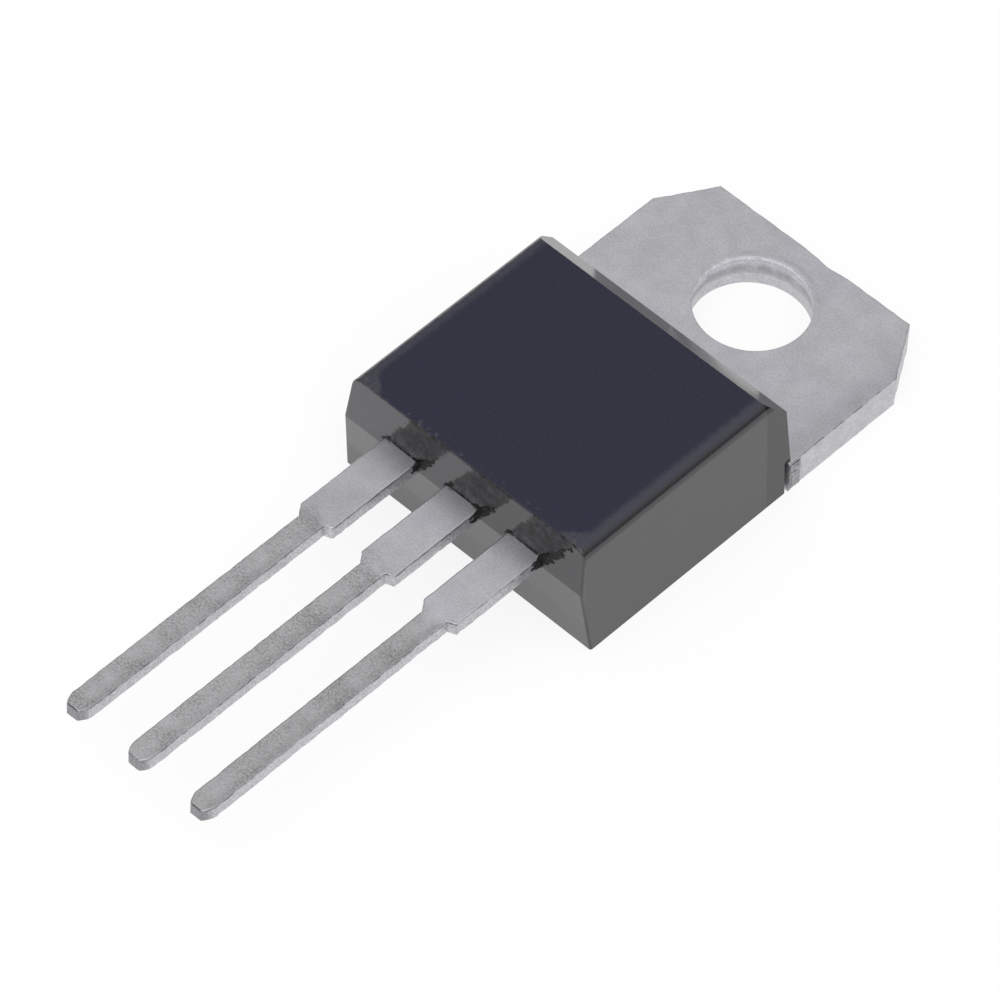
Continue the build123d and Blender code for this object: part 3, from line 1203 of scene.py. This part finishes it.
@dataclass
class RootFlashAndShade:
    """Feathered skin of epoxy round the root of one lead, longest on one side, with black stand-ins
    for shade: a skin along the lead's top for its contact shadow, and crumbs on the wall.
    """

    name: str
    centre: float
    back: float
    front: float
    seed: float
    face: float = -12.7  # inside the front of the moulding
    wide: float = LeadBlade.wide
    skin: float = 0.035
    side_reach: float = 0.5
    corner_reach: float = 0.11
    # black skin along the lead's top, standing in for its contact shadow
    foot_reach: float = 0.085
    shade_rise: float = 0.75  # of the black crumbs on the wall that stand in for the lead's dark reflection
    shade_width: float = 0.5
    shade_slant: float = 0.72
    left_shade_rise: float = 0.32  # of the smaller black patch at the lead's left corner, standing in for shade
    left_shade_width: float = 0.30
    grid_gap: float = 0.035
    wall_draft: float = 6.0  # degrees

    def build(self, finish: Material) -> Object:
        """Make the skin as a thin collar with a ragged edge, and black crumbs that stand in for
        shade.

        Args:
            finish: Material of the epoxy.

        Returns:
            The piece.
        """
        shape = bmesh.new()
        half = self.wide / 2 + self.skin * 0.3
        low, high = self.back - self.skin * 0.3, self.front + self.skin * 0.3
        corners = [
            shape.verts.new((self.centre + side * half, self.face, z))
            for side, z in ((-1, low), (1, low), (1, high), (-1, high))
        ]
        edges = [shape.edges.new(pair) for pair in zip(corners, corners[1:] + corners[:1])]
        bmesh.ops.subdivide_edges(shape, edges=edges, cuts=18)
        ragged = bmesh.ops.extrude_edge_only(shape, edges=list(shape.edges))
        for vert in new_part(ragged, BMVert):
            vert.co.y -= 0.15 + self.reach(vert.co.x - self.centre, vert.co.z)
        rings = [
            edge for edge in shape.edges if abs(edge.verts[0].co.y - edge.verts[1].co.y) > 0.05
        ]
        bmesh.ops.subdivide_edges(shape, edges=rings, cuts=4, use_grid_fill=True)
        bmesh.ops.recalc_face_normals(shape, faces=shape.faces)
        for vert in shape.verts:
            vert.co += vert.normal * self.skin * (2.4 * noise.noise(vert.co * 8.0) - 0.3)
        bmesh.ops.solidify(shape, geom=list(shape.faces), thickness=-self.skin)
        # black crumbs in place of shade: the lead's dark reflection at its right, shade at its left
        self.add_shade_crumbs(shape, self.wide / 2 + 0.06, self.shade_rise, self.shade_width)
        self.add_shade_crumbs(shape, -self.wide / 2 - 0.02, self.left_shade_rise, self.left_shade_width)
        return settle(shape, self.name, [finish], Slot.MOULDING)

    def add_shade_crumbs(self, shape: BMesh, offset: float, rise: float, width: float) -> None:
        """Add black crumbs that stand on the wall, up and to the right from one corner of the lead,
        in place of shade there.

        Args:
            shape: Mesh of the collar.
            offset: Place of their foot across the lead, from its middle, in millimetres.
            rise: Height of the patch.
            width: Width of the patch.
        """
        rows = round(rise / self.grid_gap)
        grid = bmesh.ops.create_grid(shape, x_segments=14, y_segments=rows, size=0.5)
        kept, bare = [], []
        for vert in grid["verts"]:
            across, up = vert.co.x * width, (vert.co.y + 0.5) * rise
            lumps = noise.noise(Vector((across * 7.0, up * 7.0, self.seed)))
            crumbs = noise.noise(Vector((across * 18.0, up * 18.0, self.seed + 3.0)))
            taper = (2.0 * vert.co.x) ** 2 + 0.9 * (up / rise) ** 2
            (kept if taper + 0.9 * lumps + 0.5 * crumbs < 0.75 else bare).append(vert)
            height = self.front - 0.12 + up
            wall = MOULD_FRONT - (MOULD_TOP - height) * math.tan(math.radians(self.wall_draft))
            right = self.centre + offset + across + self.shade_slant * up
            vert.co = (right, wall - 0.012 - 0.03 * abs(crumbs), height)
        bmesh.ops.delete(shape, geom=bare, context="VERTS")
        loose = [vert for vert in kept if not vert.link_faces]
        bmesh.ops.delete(shape, geom=loose, context="VERTS")
        faces = dict.fromkeys(face for vert in kept if vert.is_valid for face in vert.link_faces)
        bmesh.ops.solidify(shape, geom=list(faces), thickness=0.03)

    def reach(self, across: float, height: float) -> float:
        """How far the skin crept along the lead at one point round it.

        Args:
            across: Distance from the lead's middle, in millimetres.
            height: Height of the point.

        Returns:
            The reach, in millimetres.
        """
        around = across + height
        wave = abs(ripple(around, self.seed, 0.8, 0.16))
        wave += 0.4 * abs(ripple(around, self.seed + 5, 1.0, 0.05))
        edge = self.wide / 2 - 0.01
        if across > edge and height > self.back + 0.15:
            return self.side_reach * (0.25 + 0.75 * min(wave, 1.0))
        if height <= self.front - 0.01:
            return 0.0
        if abs(across) > edge - 0.12:
            return self.corner_reach * min(0.3 + wave, 1.0)
        return self.foot_reach * (0.95 + 0.25 * across / edge)


# ---------------------------------------------------------------- studio
@dataclass
class Studio:
    """Camera, floor, lamp and world of a plain white product setting."""

    azimuth: float = -48.7713  # degrees, of the camera about the part
    elevation: float = 51.0943
    roll: float = 3.2256
    distance: float = 232.807
    lens: float = 280.6
    sensor: float = 36.0
    aim: tuple[float, float, float] = (0.3835, 0.2311, -0.0638)  # off the middle of the part's box
    clip: tuple[float, float] = (10.0, 10000.0)
    floor_radius: float = 900.0
    floor_gap: float = 0.02  # below the part
    card: str = "#e8e8e8"
    shadow_share: float = 0.2  # of the light on the floor that shows, so that its shadow does
    glow: float = 0.84
    horizon: float = 0.14  # strength of the world
    overhead: float = 0.62
    lamp_place: tuple[float, float, float] = (90.0, -150.0, 320.0)
    lamp_size: float = 420.0
    lamp_power: float = 0.62  # watts

    def camera(self, low: Vector, high: Vector) -> Object:
        """Place the camera.

        Args:
            low: Lowest corner of the part's box, in metres.
            high: Highest corner of the part's box, in metres.

        Returns:
            The camera.
        """
        target = (low + high) / 2 + Vector(self.aim) * MM
        azimuth, elevation = math.radians(self.azimuth), math.radians(self.elevation)
        level = math.cos(elevation)
        back = Vector((level * math.cos(azimuth), level * math.sin(azimuth), math.sin(elevation)))
        roll = Matrix.Rotation(math.radians(self.roll), 3, "Z")
        turn = back.to_track_quat("Z", "Y").to_matrix() @ roll
        data = bpy.data.cameras.new("camera")
        data.lens, data.sensor_width = self.lens, self.sensor
        data.clip_start, data.clip_end = mm(*self.clip)
        camera = bpy.data.objects.new("camera", data)
        camera.matrix_world = Matrix.Translation(target + back * self.distance * MM) @ turn.to_4x4()
        bpy.context.scene.collection.objects.link(camera)
        bpy.context.scene.camera = camera
        return camera

    def floor(self, level: float) -> Object:
        """Lay a white card that keeps a faint contact shadow.

        Args:
            level: Height of the surface that the part lies on, in metres.

        Returns:
            Nothing; the floor is marked as the backdrop.
        """
        shape = bmesh.new()
        bmesh.ops.create_circle(shape, cap_ends=True, segments=96, radius=self.floor_radius * MM)
        bmesh.ops.translate(shape, verts=shape.verts, vec=(0.0, 0.0, level - self.floor_gap * MM))
        mesh = bpy.data.meshes.new("floor")
        shape.to_mesh(mesh)
        shape.free()
        floor = bpy.data.objects.new("floor", mesh)
        bpy.context.scene.collection.objects.link(floor)
        material = bpy.data.materials.new("white_card")
        graph = Graph(material)
        add = graph.add
        path = add(Kind.LIGHT_PATH)
        rays = (path[f"Is {ray} Ray"] for ray in ("Camera", "Glossy", "Transmission"))
        shadow = add(Kind.DIFFUSE, (*[self.shadow_share] * 3, 1.0))
        shown = add(Kind.BOTH_SHADERS, shadow, add(Kind.EMISSION, (1.0, 1.0, 1.0, 1.0), self.glow))
        card = add(Kind.DIFFUSE, linear(self.card))
        add(Kind.OUTPUT, add(Kind.EITHER_SHADER, graph.chain(Kind.ADD, *rays), card, shown))
        mesh.materials.append(material)
        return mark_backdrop(floor)

    def world(self) -> None:
        """Hang a soft grey studio round the part, dark at the horizon and paler overhead."""
        world = bpy.data.worlds.new("studio")
        graph = Graph(world)
        _, _, rise = graph.add(Kind.AXES, graph.add(Kind.DIRECTION))
        strength = graph.add(Kind.FADE, rise, 0.1, 0.7, self.horizon, self.overhead)
        graph.add(Kind.WORLD_OUTPUT, graph.add(Kind.BACKGROUND, (1.0, 1.0, 1.0, 1.0), strength))
        bpy.context.scene.world = world

    def lamp(self) -> Object:
        """Hang one large softbox that faces the part.

        Returns:
            The lamp.
        """
        data = bpy.data.lights.new("key", "AREA")
        data.shape = "SQUARE"
        data.size = self.lamp_size * MM
        data.energy = self.lamp_power
        lamp = bpy.data.objects.new("key", data)
        where = Vector(self.lamp_place) * MM
        turn = where.to_track_quat("Z", "Y").to_matrix().to_4x4()
        lamp.matrix_world = Matrix.Translation(where) @ turn
        bpy.context.scene.collection.objects.link(lamp)
        return lamp


def corners(name: str) -> tuple[Vector, Vector]:
    """Lowest and highest corners of a CAD node, in millimetres."""
    low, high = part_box(name)
    return Vector(low) / MM, Vector(high) / MM


def dress(node: Object, finish: Material) -> None:
    """Give a CAD node its finish.

    Args:
        node: The node, whose mesh stays as it is.
        finish: Material for the whole node.
    """
    node.data.materials.clear()
    node.data.materials.append(finish)
    LOG.info("%s dressed in %s", node.name, finish.name)


def build_tab(tin: Material) -> None:
    """Build the tab with its broken stubs.

    Args:
        tin: Finish of the flat faces.
    """
    # its dark band is a painted reflection of the horizon under the rolled edge
    edge = ShearedTin("sheared_tab_edge", 0.0, TAB_FRONT).make()
    hole_wall = ShearedTin(
        "sheared_hole_wall",
        0.0,
        TAB_FRONT,
        burnished="#c9c8ce",
        torn="#c2c1c5",
        band="#a5a4a9",
        band_depth=0.58,
        band_width=0.45,
        band_share=1.0,
        band_least=0.75,
        # painted highlight on the rolled top of the hole wall
        rim="#f6f5f9",
        rim_roughness=0.85,
    ).make()
    _, high = corners("collector_tab")
    proud = 0.05
    Tab(high.x - proud, high.y).build("collector_tab", [tin, edge, hole_wall])
    TieBarStubs(high.x - proud, proud).build(TornCopper().make())


def build_leads(tin: Material) -> None:
    """Build the three leads and the epoxy at their roots, with black stand-ins for shade there.

    Args:
        tin: Finish of the flat faces.
    """
    low, high = corners("base_lead")
    edge = ShearedTin(
        "sheared_lead_edge",
        low.z,
        high.z,
        # painted dark reflection of the horizon along the leads' rolled edges
        band="#6a6a6f",
        band_share=1.0,
        band_least=0.1,
        band_breaks=(0.37, 0.53),
        mottle=0.18,
    ).make()
    CentreLead(0.0, low.z, high.z, low.y, seed=2.0).build("collector_tab", [tin, edge])
    for name, seed in (("base_lead", 7.0), ("emitter_lead", 12.0)):
        low, high = corners(name)
        LeadBlade((low.x + high.x) / 2, low.z, high.z, low.y, seed).build(name, [tin, edge])
    # black epoxy for the flash and for the black stand-ins for shade at the roots
    bleed_and_shade = EpoxyBleed().make()
    for name, centre, seed, rise in (
        ("base_flash_and_shade", -PITCH, 1.0, 0.7),
        ("centre_flash_and_shade", 0.0, 2.3, 0.8),
        ("emitter_flash_and_shade", PITCH, 3.1, 1.45),
    ):
        RootFlashAndShade(name, centre, low.z, high.z, seed, shade_rise=rise).build(bleed_and_shade)


def main() -> None:
    """Load the frame, dress the part and light it."""
    logging.basicConfig(level=logging.INFO, format="%(name)s: %(message)s")
    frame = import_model()
    bpy.context.scene.view_settings.view_transform = "Standard"
    low, high = (Vector(corner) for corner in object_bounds())
    studio = Studio()
    studio.camera(low, high)
    studio.floor(low.z)
    studio.world()
    studio.lamp()

    tin = TinPlate().make()
    build_tab(tin)
    build_leads(tin)
    wire = SealedMetal("drawn_aluminium", "#d8d9da", "#bfc0c2", roughness=0.28, grain=0.1).make()
    solder = SealedMetal("soft_solder", "#b9b8b2", "#8f8e8a", roughness=0.4, grain=0.3).make()
    for name, finish in (
        ("mould_body", MouldedEpoxy().make()),
        ("die_solder", solder),
        ("base_wire", wire),
        ("emitter_wire", wire),
        ("silicon_die", SiliconChip().make(*corners("silicon_die"))),
    ):
        dress(frame["nodes"][name], finish)


if __name__ == "__main__":
    main()
